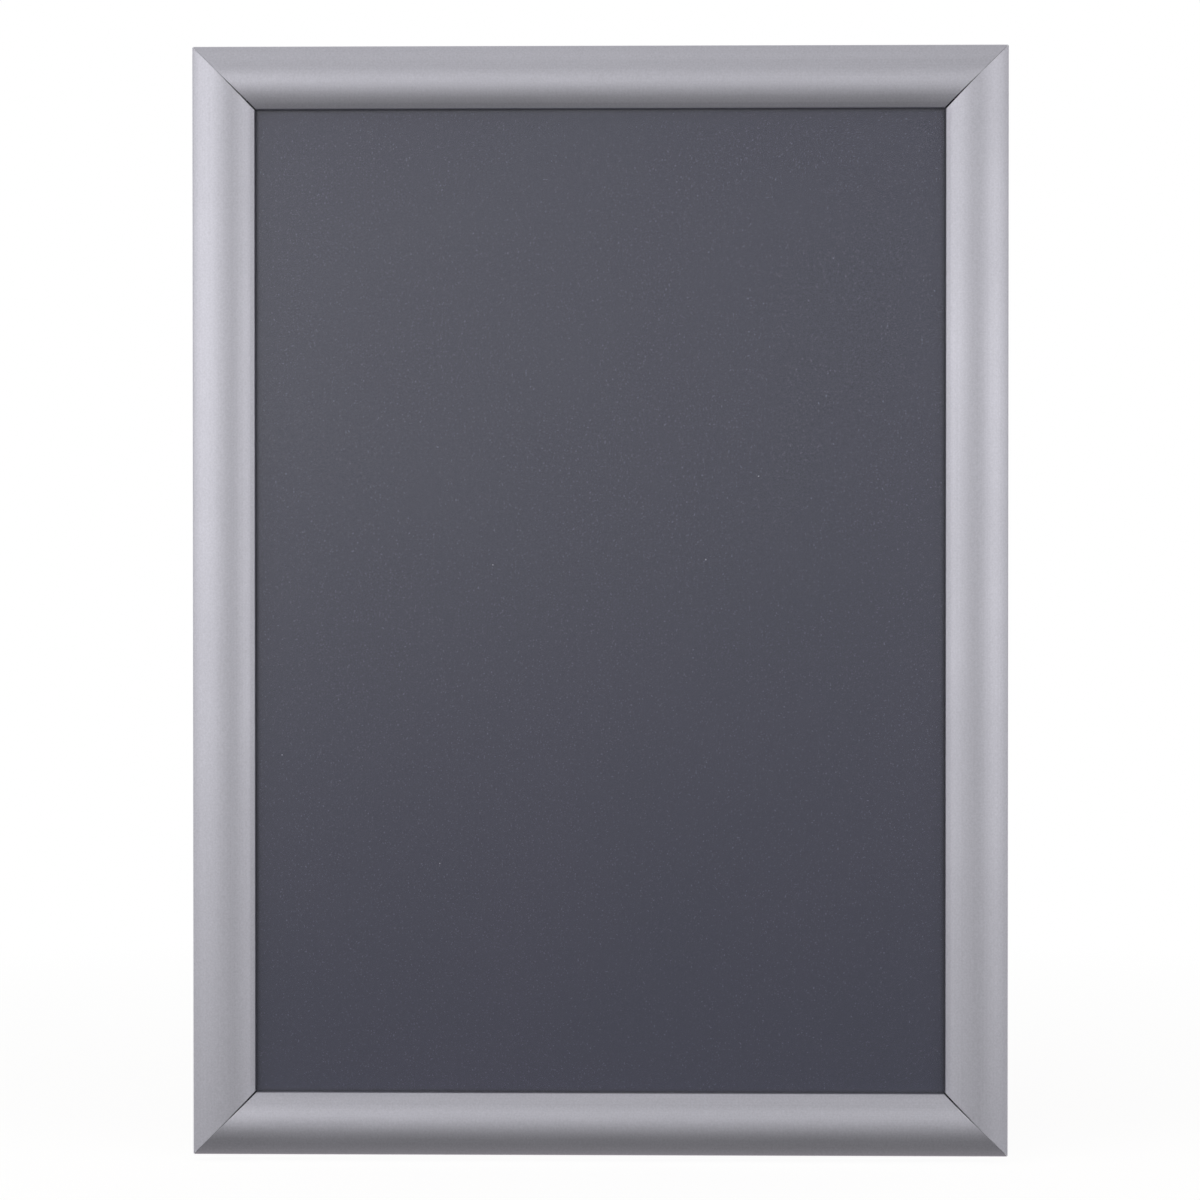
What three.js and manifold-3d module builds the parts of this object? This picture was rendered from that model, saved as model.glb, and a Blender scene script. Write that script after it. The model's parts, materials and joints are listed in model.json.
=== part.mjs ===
// Snap poster frame for an A3 sheet: mitred aluminium base rails with hinged cover rails over them,
// leaf springs that hold each cover rail shut or open, corner keys, a back panel and a cover sheet.
// Millimetres, +Z up. The frame stands in the XZ plane, faces -Y, and its back lies on the plane y = 0.
// A rail's section is drawn in u, inward from the frame's outer edge, and v, forward from the back.
import * as THREE from 'three';
import { mergeVertices } from 'three/addons/utils/BufferGeometryUtils.js';
import Module from 'manifold-3d';

const wasm = await Module();
wasm.setup();

const { degToRad } = THREE.MathUtils;

// The sheet that the frame holds, and the width of a rail seen from the front
const SHEET_WIDTH = 297;
const SHEET_HEIGHT = 420;
const RAIL_WIDTH = 26;
const LIP_OVERLAP = 4;

// Thicknesses
const PLATE_THICKNESS = 1.2;
const PANEL_THICKNESS = 1.5;
const COVER_THICKNESS = 0.5;
const SKIN_THICKNESS = 1.25;
const LIP_THICKNESS = 1.25;
const FOOT_THICKNESS = 0.8;
const RIB_THICKNESS = 1.3;
const CHANNEL_LIP_THICKNESS = 0.8;
const CLAW_WALL = 1.4;
const KEY_THICKNESS = 1.6;
const SPRING_THICKNESS = 0.5;

// Clearances
const HINGE_CLEARANCE = 0.1;
const FIT_GAP = 0.15;
const REST_GAP = 0.2;
const SHEET_EDGE_GAP = 0.5;
const CLAW_FLOOR_GAP = 0.5;
const BASE_MITRE_GAP = 0.1;
const COVER_MITRE_GAP = 0.2;
const RELIEF_GAP = 0.5;

// Hinge: a bead on the base rail, held by a claw on the cover rail, whose back is the rail's round outer edge
const BEAD_RADIUS = 1.5;
const OPENING_ANGLE = degToRad(80);
const CLAW_TIP_ANGLE = degToRad(143);
const CLAW_END_ANGLE = degToRad(-80);
const SKIN_START_ANGLE = degToRad(126);

// Cover rail's inner lip
const LIP_EDGE_RADIUS = 1.2;
const FOOT_EDGE_RADIUS = 0.4;
const FOOT_WIDTH = 2;

// Base rail's flange under the panel, and the lips over its key channel
const FLANGE_REACH = 6;
const CHANNEL_LIP_REACH = 0.8;

// Leaf springs: the line from the hinge to a spring's fixed edge, and the notches at both edges
const SPRING_ARM = 9.6;
const SPRING_LINE_ANGLE = degToRad(-10.5);
const SPRING_BOW = 0.4;
const SPRING_LENGTH = 40;
const SPRING_INSET = 90;
const CLAW_NOTCH_DEPTH = 0.55;
const CLAW_NOTCH_HALF_ANGLE = degToRad(22);
const RIB_NOTCH_DEPTH = 0.9;
const RIB_NOTCH_MARGIN = 0.6;

// Corner keys and wall screw holes
const KEY_LEG = 45;
const KEY_CHAMFER = 1.5;
const HOLE_DIAMETER = 4.5;
const HOLE_INSET = 75;

// Fineness of the round stretches
const SKIN_STEP = degToRad(4);
const SMALL_ARC_STEP = degToRad(15);
const HOLE_SIDES = 24;

// Outer size of the frame
const RAIL_POCKET = RAIL_WIDTH - LIP_OVERLAP;
const OUTER_WIDTH = SHEET_WIDTH + 2 * RAIL_POCKET;
const OUTER_HEIGHT = SHEET_HEIGHT + 2 * RAIL_POCKET;

// Heights of the stacked sheets above the back
const PANEL_BACK = PLATE_THICKNESS + REST_GAP;
const COVER_BACK = PANEL_BACK + PANEL_THICKNESS + REST_GAP;
const FOOT_BOTTOM = COVER_BACK + COVER_THICKNESS + REST_GAP;

// Hinge axis in the section
const SOCKET_RADIUS = BEAD_RADIUS + HINGE_CLEARANCE;
const CLAW_RADIUS = SOCKET_RADIUS + CLAW_WALL;
const HINGE = new THREE.Vector2(
  -CLAW_RADIUS * Math.cos(CLAW_TIP_ANGLE),
  PLATE_THICKNESS + CLAW_FLOOR_GAP + CLAW_RADIUS,
);

// Spring edges in the section, at rest
const SEAT_ANGLE = SPRING_LINE_ANGLE - OPENING_ANGLE / 2;
const NOTCH_RADIUS = CLAW_RADIUS - CLAW_NOTCH_DEPTH;
const SPRING_FREE_EDGE = polar(HINGE, NOTCH_RADIUS + SPRING_THICKNESS / 2 + FIT_GAP, SEAT_ANGLE);
const SPRING_FIXED_EDGE = polar(HINGE, SPRING_ARM, SPRING_LINE_ANGLE);

// Ribs of the base rail, which follow the spring's fixed edge and the edge of the sheet
const RIB_NOTCH_U = SPRING_FIXED_EDGE.x + SPRING_THICKNESS / 2 + FIT_GAP * Math.SQRT2;
const SPRING_RIB_OUTER = RIB_NOTCH_U - RIB_NOTCH_DEPTH;
const CHANNEL_OUTER = RIB_NOTCH_U + RIB_THICKNESS;
const POCKET_WALL = RAIL_POCKET - SHEET_EDGE_GAP;
const CHANNEL_INNER = POCKET_WALL - RIB_THICKNESS;
const CHANNEL_MIDDLE = (CHANNEL_OUTER + CHANNEL_INNER) / 2;
const CHANNEL_LIP_BOTTOM = PLATE_THICKNESS + KEY_THICKNESS + 2 * FIT_GAP;
const CHANNEL_LIP_TOP = CHANNEL_LIP_BOTTOM + CHANNEL_LIP_THICKNESS;

const SIDES = [
  { name: 'bottom', turn: 0, length: OUTER_WIDTH, reach: OUTER_HEIGHT / 2, drilled: true },
  { name: 'right', turn: Math.PI / 2, length: OUTER_HEIGHT, reach: OUTER_WIDTH / 2, drilled: false },
  { name: 'top', turn: Math.PI, length: OUTER_WIDTH, reach: OUTER_HEIGHT / 2, drilled: true },
  { name: 'left', turn: -Math.PI / 2, length: OUTER_HEIGHT, reach: OUTER_WIDTH / 2, drilled: false },
];

const CORNERS = [
  { name: 'bottom_left', turn: 0, x: -OUTER_WIDTH / 2, y: -OUTER_HEIGHT / 2 },
  { name: 'bottom_right', turn: Math.PI / 2, x: OUTER_WIDTH / 2, y: -OUTER_HEIGHT / 2 },
  { name: 'top_right', turn: Math.PI, x: OUTER_WIDTH / 2, y: OUTER_HEIGHT / 2 },
  { name: 'top_left', turn: -Math.PI / 2, x: -OUTER_WIDTH / 2, y: OUTER_HEIGHT / 2 },
];

function anodisedAluminium() {
  return new THREE.MeshStandardMaterial({ color: 0xbdbdc4, roughness: 0.42, metalness: 0.9 });
}

function springSteel() {
  return new THREE.MeshStandardMaterial({ color: 0x8d8f94, roughness: 0.3, metalness: 1 });
}

function platedSteel() {
  return new THREE.MeshStandardMaterial({ color: 0xa7a69e, roughness: 0.45, metalness: 1 });
}

function darkPanelPlastic() {
  return new THREE.MeshStandardMaterial({ color: 0x3a3a42, roughness: 0.7, metalness: 0 });
}

function mattClearPlastic() {
  return new THREE.MeshStandardMaterial({
    color: 0x8b8b97,
    roughness: 0.45,
    metalness: 0,
    transparent: true,
    opacity: 0.3,
  });
}

function polar(centre, radius, angle) {
  return new THREE.Vector2(centre.x + radius * Math.cos(angle), centre.y + radius * Math.sin(angle));
}

// Points along an arc, both ends included
function arc(centre, radius, from, to, step) {
  const count = Math.max(1, Math.ceil(Math.abs(to - from) / step));
  return Array.from({ length: count + 1 }, (_, i) => {
    return polar(centre, radius, from + ((to - from) * i) / count);
  });
}

function point(u, v) {
  return new THREE.Vector2(u, v);
}

// A bar of the given section along X, with its ends cut at 45 degrees for the corners of the frame
function mitredBar(outline, length, gap) {
  const bar = new THREE.ExtrudeGeometry(new THREE.Shape(outline), { depth: 1, bevelEnabled: false });
  const position = bar.getAttribute('position');
  for (let i = 0; i < position.count; i += 1) {
    const u = position.getX(i);
    const v = position.getY(i);
    const end = Math.sign(position.getZ(i) - 0.5);
    position.setXYZ(i, end * (length / 2 - u - gap), u, v);
  }
  bar.computeVertexNormals();
  return bar;
}

// A bar of the given section along X, with square ends, centred on the given x
function squareBar(outline, length, middle) {
  const bar = new THREE.ExtrudeGeometry(new THREE.Shape(outline), { depth: length, bevelEnabled: false });
  const position = bar.getAttribute('position');
  for (let i = 0; i < position.count; i += 1) {
    const x = middle - length / 2 + position.getZ(i);
    position.setXYZ(i, x, position.getX(i), position.getY(i));
  }
  bar.computeVertexNormals();
  return bar;
}

function solidOf(geometry) {
  const bare = geometry.clone();
  bare.deleteAttribute('normal');
  bare.deleteAttribute('uv');
  const merged = mergeVertices(bare);
  return new wasm.Manifold(new wasm.Mesh({
    numProp: 3,
    vertProperties: Float32Array.from(merged.getAttribute('position').array),
    triVerts: Uint32Array.from(merged.getIndex().array),
  }));
}

function cut(geometry, tools) {
  let solid = solidOf(geometry);
  for (const tool of tools) {
    solid = solid.subtract(solidOf(tool));
  }
  const mesh = solid.getMesh();
  const result = new THREE.BufferGeometry();
  result.setAttribute('position', new THREE.BufferAttribute(mesh.vertProperties, 3));
  result.setIndex(new THREE.BufferAttribute(mesh.triVerts, 1));
  result.computeVertexNormals();
  return result;
}

// Fixed extrusion: back plate, hinge wall with its bead, spring rib, key channel and panel pocket
function baseRailOutline() {
  const wallOuter = HINGE.x + SOCKET_RADIUS * Math.cos(CLAW_TIP_ANGLE + OPENING_ANGLE) + HINGE_CLEARANCE;
  const wallInner = HINGE.x + SOCKET_RADIUS * Math.cos(CLAW_END_ANGLE) - HINGE_CLEARANCE;
  const beadStart = -Math.acos((wallInner - HINGE.x) / BEAD_RADIUS);
  const beadEnd = 2 * Math.PI - Math.acos((wallOuter - HINGE.x) / BEAD_RADIUS);
  const flangeEnd = RAIL_POCKET + FLANGE_REACH;
  const notchTop = SPRING_FIXED_EDGE.y + RIB_NOTCH_DEPTH;
  const notchBottom = SPRING_FIXED_EDGE.y - RIB_NOTCH_DEPTH;
  const springRibTop = notchTop + RIB_NOTCH_MARGIN;
  return [
    point(wallOuter, 0),
    point(flangeEnd, 0),
    point(flangeEnd, PLATE_THICKNESS),
    point(POCKET_WALL, PLATE_THICKNESS),
    point(POCKET_WALL, CHANNEL_LIP_TOP),
    point(CHANNEL_INNER - CHANNEL_LIP_REACH, CHANNEL_LIP_TOP),
    point(CHANNEL_INNER - CHANNEL_LIP_REACH, CHANNEL_LIP_BOTTOM),
    point(CHANNEL_INNER, CHANNEL_LIP_BOTTOM),
    point(CHANNEL_INNER, PLATE_THICKNESS),
    point(CHANNEL_OUTER, PLATE_THICKNESS),
    point(CHANNEL_OUTER, CHANNEL_LIP_BOTTOM),
    point(CHANNEL_OUTER + CHANNEL_LIP_REACH, CHANNEL_LIP_BOTTOM),
    point(CHANNEL_OUTER + CHANNEL_LIP_REACH, CHANNEL_LIP_TOP),
    point(CHANNEL_OUTER, CHANNEL_LIP_TOP),
    point(CHANNEL_OUTER, springRibTop),
    point(SPRING_RIB_OUTER, springRibTop),
    point(SPRING_RIB_OUTER, notchTop),
    point(RIB_NOTCH_U, SPRING_FIXED_EDGE.y),
    point(SPRING_RIB_OUTER, notchBottom),
    point(SPRING_RIB_OUTER, PLATE_THICKNESS),
    point(wallInner, PLATE_THICKNESS),
    ...arc(HINGE, BEAD_RADIUS, beadStart, beadEnd, SMALL_ARC_STEP),
  ];
}

// Hinged extrusion: a round skin that starts tangent to the claw and ends in the lip on the sheet
function coverRailOutline() {
  const crown = RAIL_WIDTH / 2;
  const centreDistance = (HINGE.x - crown) / Math.cos(SKIN_START_ANGLE);
  const skinCentre = polar(HINGE, -centreDistance, SKIN_START_ANGLE);
  const skinOuter = centreDistance + CLAW_RADIUS;
  const skinInner = skinOuter - SKIN_THICKNESS;

  const edgeU = RAIL_WIDTH - LIP_EDGE_RADIUS;
  const edgeAngle = Math.acos((edgeU - skinCentre.x) / (skinOuter - LIP_EDGE_RADIUS));
  const edgeCentre = polar(skinCentre, skinOuter - LIP_EDGE_RADIUS, edgeAngle);
  const footCentre = point(RAIL_WIDTH - FOOT_EDGE_RADIUS, FOOT_BOTTOM + FOOT_EDGE_RADIUS);

  const lipBack = RAIL_WIDTH - LIP_THICKNESS;
  const lipBackAngle = Math.acos((lipBack - skinCentre.x) / skinInner);
  const clawCosine = (skinInner ** 2 - centreDistance ** 2 - CLAW_RADIUS ** 2)
    / (2 * centreDistance * CLAW_RADIUS);
  const clawAngle = SKIN_START_ANGLE - Math.acos(clawCosine);
  const clawPoint = polar(HINGE, CLAW_RADIUS, clawAngle);
  const clawSkinAngle = Math.atan2(clawPoint.y - skinCentre.y, clawPoint.x - skinCentre.x);

  const notchStart = SEAT_ANGLE + CLAW_NOTCH_HALF_ANGLE;
  const notchEnd = Math.max(SEAT_ANGLE - CLAW_NOTCH_HALF_ANGLE, CLAW_END_ANGLE);
  return [
    ...arc(HINGE, CLAW_RADIUS, CLAW_TIP_ANGLE, SKIN_START_ANGLE, SMALL_ARC_STEP),
    ...arc(skinCentre, skinOuter, SKIN_START_ANGLE, edgeAngle, SKIN_STEP).slice(1),
    ...arc(edgeCentre, LIP_EDGE_RADIUS, edgeAngle, 0, SMALL_ARC_STEP).slice(1),
    ...arc(footCentre, FOOT_EDGE_RADIUS, 0, -Math.PI / 2, SMALL_ARC_STEP),
    point(RAIL_WIDTH - FOOT_WIDTH, FOOT_BOTTOM),
    point(RAIL_WIDTH - FOOT_WIDTH, FOOT_BOTTOM + FOOT_THICKNESS),
    point(lipBack, FOOT_BOTTOM + FOOT_THICKNESS),
    ...arc(skinCentre, skinInner, lipBackAngle, clawSkinAngle, SKIN_STEP),
    ...arc(HINGE, CLAW_RADIUS, clawAngle, notchStart, SMALL_ARC_STEP).slice(1),
    polar(HINGE, NOTCH_RADIUS, SEAT_ANGLE),
    ...arc(HINGE, CLAW_RADIUS, notchEnd, CLAW_END_ANGLE, SMALL_ARC_STEP),
    ...arc(HINGE, SOCKET_RADIUS, CLAW_END_ANGLE, CLAW_TIP_ANGLE, SMALL_ARC_STEP),
  ].reverse();
}

// Bowed strip between the notch in the claw and the notch in the spring rib
function springOutline() {
  const chord = SPRING_FIXED_EDGE.clone().sub(SPRING_FREE_EDGE);
  const radius = (chord.lengthSq() / 4 + SPRING_BOW ** 2) / (2 * SPRING_BOW);
  const half = Math.asin(chord.length() / (2 * radius));
  const middleAngle = chord.angle() + Math.PI / 2;
  const centre = polar(
    SPRING_FREE_EDGE.clone().add(SPRING_FIXED_EDGE).multiplyScalar(0.5),
    SPRING_BOW - radius,
    middleAngle,
  );
  const front = radius + SPRING_THICKNESS / 2;
  const back = radius - SPRING_THICKNESS / 2;
  return [
    ...arc(centre, back, middleAngle + half, middleAngle - half, SKIN_STEP),
    ...arc(centre, front, middleAngle - half, middleAngle + half, SKIN_STEP),
  ];
}

// Holes for wall screws through the floor of the key channel
function screwHoles(length) {
  return [-1, 1].map((end) => {
    const hole = new THREE.CylinderGeometry(
      HOLE_DIAMETER / 2,
      HOLE_DIAMETER / 2,
      3 * PLATE_THICKNESS,
      HOLE_SIDES,
    );
    hole.rotateX(Math.PI / 2);
    hole.translate(end * (length / 2 - HOLE_INSET), CHANNEL_MIDDLE, PLATE_THICKNESS / 2);
    return hole;
  });
}

// The claw below the hinge axis swings inward, so it stops short of the neighbouring rail's mitre
function clawReliefs(length) {
  const relief = HINGE.x + CLAW_RADIUS + RELIEF_GAP;
  const width = CLAW_RADIUS + RELIEF_GAP;
  return [-1, 1].map((end) => {
    const box = new THREE.BoxGeometry(2 * relief, width, HINGE.y);
    box.translate((end * length) / 2, HINGE.x + width / 2, HINGE.y / 2);
    return box;
  });
}

function baseRail(side) {
  const bar = mitredBar(baseRailOutline(), side.length, BASE_MITRE_GAP);
  const geometry = side.drilled ? cut(bar, screwHoles(side.length)) : bar;
  const rail = new THREE.Mesh(geometry, anodisedAluminium());
  rail.name = `base_rail_${side.name}`;
  return rail;
}

function coverRail(side) {
  const bar = mitredBar(coverRailOutline(), side.length, COVER_MITRE_GAP);
  const rail = new THREE.Mesh(cut(bar, clawReliefs(side.length)), anodisedAluminium());
  rail.name = `cover_rail_${side.name}`;
  return rail;
}

function springs(side) {
  return [-1, 1].map((end, index) => {
    const middle = end * (side.length / 2 - SPRING_INSET);
    const spring = new THREE.Mesh(squareBar(springOutline(), SPRING_LENGTH, middle), springSteel());
    spring.name = `spring_${side.name}_${index + 1}`;
    return spring;
  });
}

// L shaped plate in the key channels of two base rails
function cornerKey(corner) {
  const outer = CHANNEL_OUTER + FIT_GAP;
  const inner = CHANNEL_INNER - FIT_GAP;
  const end = outer + KEY_LEG;
  const outline = new THREE.Shape([
    point(outer, outer),
    point(end - KEY_CHAMFER, outer),
    point(end, outer + KEY_CHAMFER),
    point(end, inner - KEY_CHAMFER),
    point(end - KEY_CHAMFER, inner),
    point(inner, inner),
    point(inner, end - KEY_CHAMFER),
    point(inner - KEY_CHAMFER, end),
    point(outer + KEY_CHAMFER, end),
    point(outer, end - KEY_CHAMFER),
  ]);
  const plate = new THREE.ExtrudeGeometry(outline, { depth: KEY_THICKNESS, bevelEnabled: false });
  const key = new THREE.Mesh(plate, platedSteel());
  key.name = `corner_key_${corner.name}`;
  key.position.set(corner.x, corner.y, PLATE_THICKNESS + FIT_GAP);
  key.rotation.z = corner.turn;
  return key;
}

function sheet(name, back, thickness, material) {
  const mesh = new THREE.Mesh(new THREE.BoxGeometry(SHEET_WIDTH, SHEET_HEIGHT, thickness), material);
  mesh.name = name;
  mesh.position.z = back + thickness / 2;
  return mesh;
}

const frame = new THREE.Group();
frame.rotation.x = Math.PI / 2;

for (const side of SIDES) {
  const rail = new THREE.Group();
  rail.rotation.z = side.turn;
  rail.position.set(Math.sin(side.turn) * side.reach, -Math.cos(side.turn) * side.reach, 0);
  rail.add(baseRail(side), coverRail(side), ...springs(side));
  frame.add(rail);
}

frame.add(...CORNERS.map(cornerKey));
frame.add(sheet('back_panel', PANEL_BACK, PANEL_THICKNESS, darkPanelPlastic()));
frame.add(sheet('cover_sheet', COVER_BACK, COVER_THICKNESS, mattClearPlastic()));

export default frame;
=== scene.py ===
import json
import math

import bmesh
import bpy
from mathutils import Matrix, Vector


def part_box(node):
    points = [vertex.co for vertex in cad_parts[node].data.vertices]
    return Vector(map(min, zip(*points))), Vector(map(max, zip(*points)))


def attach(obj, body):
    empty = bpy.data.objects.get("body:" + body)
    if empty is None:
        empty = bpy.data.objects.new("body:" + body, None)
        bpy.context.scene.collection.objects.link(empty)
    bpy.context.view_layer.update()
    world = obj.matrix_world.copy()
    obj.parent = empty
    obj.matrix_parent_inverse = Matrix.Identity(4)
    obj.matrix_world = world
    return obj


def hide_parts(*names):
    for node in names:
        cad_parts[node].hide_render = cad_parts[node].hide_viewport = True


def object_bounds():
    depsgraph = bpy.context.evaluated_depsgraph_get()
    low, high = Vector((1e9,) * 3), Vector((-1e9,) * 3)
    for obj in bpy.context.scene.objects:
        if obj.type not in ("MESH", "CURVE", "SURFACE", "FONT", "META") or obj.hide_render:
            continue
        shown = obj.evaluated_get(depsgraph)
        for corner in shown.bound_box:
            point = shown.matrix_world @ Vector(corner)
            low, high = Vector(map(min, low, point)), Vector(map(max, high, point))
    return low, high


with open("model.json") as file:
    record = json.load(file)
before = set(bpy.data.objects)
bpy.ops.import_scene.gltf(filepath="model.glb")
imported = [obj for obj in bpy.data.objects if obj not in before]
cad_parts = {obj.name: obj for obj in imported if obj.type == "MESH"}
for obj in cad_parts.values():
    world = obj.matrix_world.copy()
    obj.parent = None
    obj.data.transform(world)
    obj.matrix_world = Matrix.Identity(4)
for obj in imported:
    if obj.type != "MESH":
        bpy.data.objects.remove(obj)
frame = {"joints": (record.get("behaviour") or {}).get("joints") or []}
cad_low, cad_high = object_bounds()

# Base rails: four lengths of silver anodised aluminium extrusion that lie on the wall, sawn at 45 degrees.
# Each has a hinge bead on its outer wall, a notched rib for the springs, a channel for the corner keys and
# a flange under the back panel. The top and bottom ones are drilled for wall screws.
MM = 0.001
OUTER_WIDTH = cad_high.x - cad_low.x
OUTER_HEIGHT = cad_high.z - cad_low.z
RAIL_RUNS = (
    ("across", OUTER_WIDTH, OUTER_HEIGHT / 2, {"bottom": 0.0, "top": math.pi}),
    ("upright", OUTER_HEIGHT, OUTER_WIDTH / 2, {"right": -math.pi / 2, "left": math.pi / 2}),
)

joint_places = {joint["name"]: joint["pos_m"] for joint in frame["joints"]}
HINGE_U = joint_places["bottom_rail_hinge"][2] - cad_low.z
HINGE_V = -joint_places["bottom_rail_hinge"][1]
SPRING_U = joint_places["bottom_spring_swing"][2] - cad_low.z
SPRING_V = -joint_places["bottom_spring_swing"][1]

base_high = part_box("base_rail_bottom")[1]
panel_low, panel_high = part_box("back_panel")
WALL_SETBACK = 1.07 * MM
WALL_OUTER = HINGE_U - WALL_SETBACK
WALL_THICKNESS = 1.248 * MM
FLANGE_END = base_high.z - cad_low.z
PLATE = 1.2 * MM
BEAD_RADIUS = 1.5 * MM
RIB = 1.3 * MM
RIB_NOTCH = 0.9 * MM
RIB_NOTCH_MARGIN = 0.6 * MM
RIB_NOTCH_CLEARANCE = 0.462 * MM
RIB_NOTCH_U = SPRING_U + RIB_NOTCH_CLEARANCE
SHEET_EDGE_GAP = 0.5 * MM
POCKET_WALL = panel_low.z - cad_low.z - SHEET_EDGE_GAP
CHANNEL_OUTER = RIB_NOTCH_U + RIB
CHANNEL_INNER = POCKET_WALL - RIB
CHANNEL_LIP_REACH = 0.8 * MM
CHANNEL_LIP_BOTTOM = 3.1 * MM
CHANNEL_LIP_TOP = 3.9 * MM
HOLE_RADIUS = 2.25 * MM
HOLE_INSET = 75 * MM
HOLE_SIDES = 48
DRILL_LENGTH = 3 * PLATE
BASE_MITRE_GAP = 0.03 * MM
MITRE = Vector((1, 0, 1))
OFFCUT = 100 * MM
ARC_STEP = math.radians(5)
WELD = 0.002 * MM
SHARP_EDGE = math.radians(30)
EDGE_SEGMENTS = 3
LONG_EDGE_RADIUS = 0.12 * MM
LONG_EDGE_SHARE = 0.999
SAWN_EDGE_RADIUS = 0.1 * MM
SAWN_EDGE_SEGMENTS = 2
SAWN_LEAN = 0.01
SAWN_TURN = 0.04
SMOOTH_ANGLE = math.radians(35)
ANODISED_SLOT = 0
SAWN_SLOT = 1
LONG_GRAIN = 3.0
CROSS_GRAIN = 1900.0
DIE_LINE_COLOURS = ((0.585, 0.578, 0.632, 1), (0.735, 0.727, 0.794, 1))
ETCHED_COLOURS = ((0.46, 0.455, 0.5, 1), (0.86, 0.85, 0.925, 1))
ETCHED_SHARE = 0.5
SAWN_COLOURS = ((0.2, 0.2, 0.21, 1), (0.42, 0.42, 0.43, 1))


def start_section(name, u, v):
    """A new mesh in edit mode that holds one selected point of a rail's section.
    u runs inward from the frame's outer edge, and v forward from the wall."""
    bpy.ops.object.select_all(action="DESELECT")
    bpy.ops.mesh.primitive_plane_add(size=MM)
    piece = bpy.context.object
    piece.name = name
    bpy.ops.object.mode_set(mode="EDIT")
    bpy.ops.mesh.select_mode(type="VERT")
    bpy.ops.mesh.merge(type="CENTER")
    bpy.ops.transform.translate(value=(0, -v, u))
    return piece


def draw_line(piece, u, v):
    pen = next(vert.co for vert in bmesh.from_edit_mesh(piece.data).verts if vert.select)
    step = Vector((0, -v, u)) - pen
    bpy.ops.mesh.extrude_vertices_move(TRANSFORM_OT_translate={"value": step})


def draw_arc(centre, turn, step=ARC_STEP):
    u, v = centre
    steps = math.ceil(abs(turn) / step)
    bpy.ops.mesh.spin(steps=steps, angle=turn, center=(0, -v, u), axis=(-1, 0, 0))


def pull_section(length, middle, reach):
    """Closes the drawn section and pulls it out along X to a bar at the lower edge of the frame."""
    bpy.ops.mesh.select_all(action="SELECT")
    bpy.ops.mesh.remove_doubles(threshold=WELD)
    bpy.ops.mesh.edge_face_add()
    bpy.ops.mesh.extrude_region_move(TRANSFORM_OT_translate={"value": (length, 0, 0)})
    bpy.ops.mesh.select_all(action="SELECT")
    bpy.ops.transform.translate(value=(middle - length / 2, 0, -reach))
    bpy.ops.mesh.normals_make_consistent(inside=False)


def select_edges(piece, wanted):
    """Selects the edges that the given test picks."""
    bpy.ops.mesh.select_mode(type="EDGE")
    bpy.ops.mesh.select_all(action="DESELECT")
    mesh = bmesh.from_edit_mesh(piece.data)
    for edge in mesh.edges:
        edge.select_set(wanted(edge))
    bmesh.update_edit_mesh(piece.data)


def runs_along(edge):
    first, second = (vert.co for vert in edge.verts)
    return abs(second.x - first.x) > LONG_EDGE_SHARE * (second - first).length


def round_long_edges(piece, radius):
    """Rounds the sharp edges that run along the bar, as an extrusion die leaves them."""
    select_edges(piece, lambda edge: runs_along(edge) and edge.calc_face_angle(0) > SHARP_EDGE)
    bpy.ops.mesh.bevel(offset=radius, segments=EDGE_SEGMENTS, affect="EDGES", clamp_overlap=True)


def make_active(piece):
    bpy.ops.object.mode_set(mode="OBJECT")
    bpy.ops.object.select_all(action="DESELECT")
    piece.select_set(True)
    bpy.context.view_layer.objects.active = piece


def trim(piece, cutter, operation="DIFFERENCE"):
    """Takes the cutter's shape out of the piece, or keeps only what lies in it, and removes the cutter."""
    make_active(piece)
    bpy.ops.object.modifier_add(type="BOOLEAN")
    cut = piece.modifiers[-1]
    cut.object = cutter
    cut.operation = operation
    cut.solver = "EXACT"
    bpy.ops.object.modifier_apply(modifier=cut.name)
    bpy.data.objects.remove(cutter)


def saw_ends(piece, start, outward, offcut):
    """Saws both ends off. The cut at the right-hand end goes through start and faces outward."""
    bpy.ops.object.mode_set(mode="OBJECT")
    for mirror in (Vector((-1, 1, 1)), Vector((1, 1, 1))):
        facing = (mirror * outward).normalized()
        bpy.ops.mesh.primitive_cube_add(
            size=offcut,
            location=mirror * start + facing * offcut / 2,
            rotation=facing.to_track_quat("Z", "Y").to_euler(),
        )
        trim(piece, bpy.context.object)


def is_sawn(face):
    """True on a mitred end, whose face stands upright on the wall at 45 degrees to the rail."""
    turn = abs(abs(face.normal.x) - abs(face.normal.z))
    return abs(face.normal.y) < SAWN_LEAN and turn < SAWN_TURN


def dress_mitres(piece, radius, in_sight):
    """Gives the sawn ends their bare metal, and breaks their edges along the faces that are in sight."""

    def ends_in_sight(edge):
        return any(map(is_sawn, edge.link_faces)) and any(map(in_sight, edge.link_faces))

    make_active(piece)
    bpy.ops.object.mode_set(mode="EDIT")
    bpy.ops.mesh.select_mode(type="FACE")
    bpy.ops.mesh.select_all(action="DESELECT")
    mesh = bmesh.from_edit_mesh(piece.data)
    for face in mesh.faces:
        face.select_set(is_sawn(face))
    bmesh.update_edit_mesh(piece.data)
    piece.active_material_index = SAWN_SLOT
    bpy.ops.object.material_slot_assign()
    select_edges(piece, ends_in_sight)
    bpy.ops.mesh.bevel(
        offset=radius,
        segments=SAWN_EDGE_SEGMENTS,
        affect="EDGES",
        clamp_overlap=False,
        material=ANODISED_SLOT,
    )
    bpy.ops.object.mode_set(mode="OBJECT")


def smooth_faces(piece):
    """Smooth shading over round stretches, with flat faces kept flat."""
    make_active(piece)
    bpy.ops.object.shade_smooth_by_angle(angle=SMOOTH_ANGLE)
    bpy.ops.object.modifier_add(type="WEIGHTED_NORMAL")
    piece.modifiers[-1].keep_sharp = True
    bpy.ops.object.modifier_apply(modifier=piece.modifiers[-1].name)


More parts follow.
